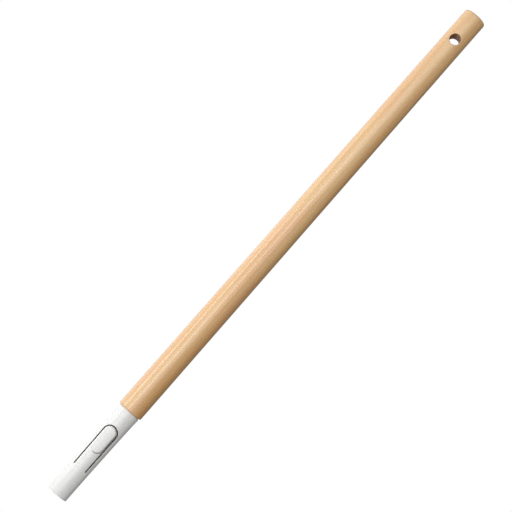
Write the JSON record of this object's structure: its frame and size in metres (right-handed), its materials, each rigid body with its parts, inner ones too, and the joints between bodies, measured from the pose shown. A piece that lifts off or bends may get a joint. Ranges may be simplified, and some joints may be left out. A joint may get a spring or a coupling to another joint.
{
  "type": "roller extension pole",
  "caption": "Tapered round wooden pole with a hanging hole and a moulded snap-in connector whose spring tongue carries a raised thumb pad.",
  "frame": {"origin": "centre of the connector's mouth, on the pole's axis", "axes": "+Z along the pole from the mouth to the hanging end; the thumb pad and the hanging hole face -Y"},
  "size_m": [0.025, 0.025, 0.5808],
  "materials": {
    "lacquered_wood": "satin clear lacquer over pale straight-grained beech",
    "white_resin": "moulded white resin, satin gloss",
    "zinc_steel": "bright zinc plate"
  },
  "bodies": {
    "handle": {"pole_shaft": "lacquered_wood", "connector_body": "white_resin", "fixing_screw": "zinc_steel", "screw_washer": "zinc_steel"},
    "tongue": {"release_tongue": "white_resin"}
  },
  "joints": [
    {"name": "tongue_press", "type": "hinge", "parent": "handle", "child": "tongue", "pos_m": [0, -0.009, 0.0319], "axis": [-1, 0, 0], "range_deg": [0, 3], "stiffness_Nm_per_rad": 3.4}
  ]
}
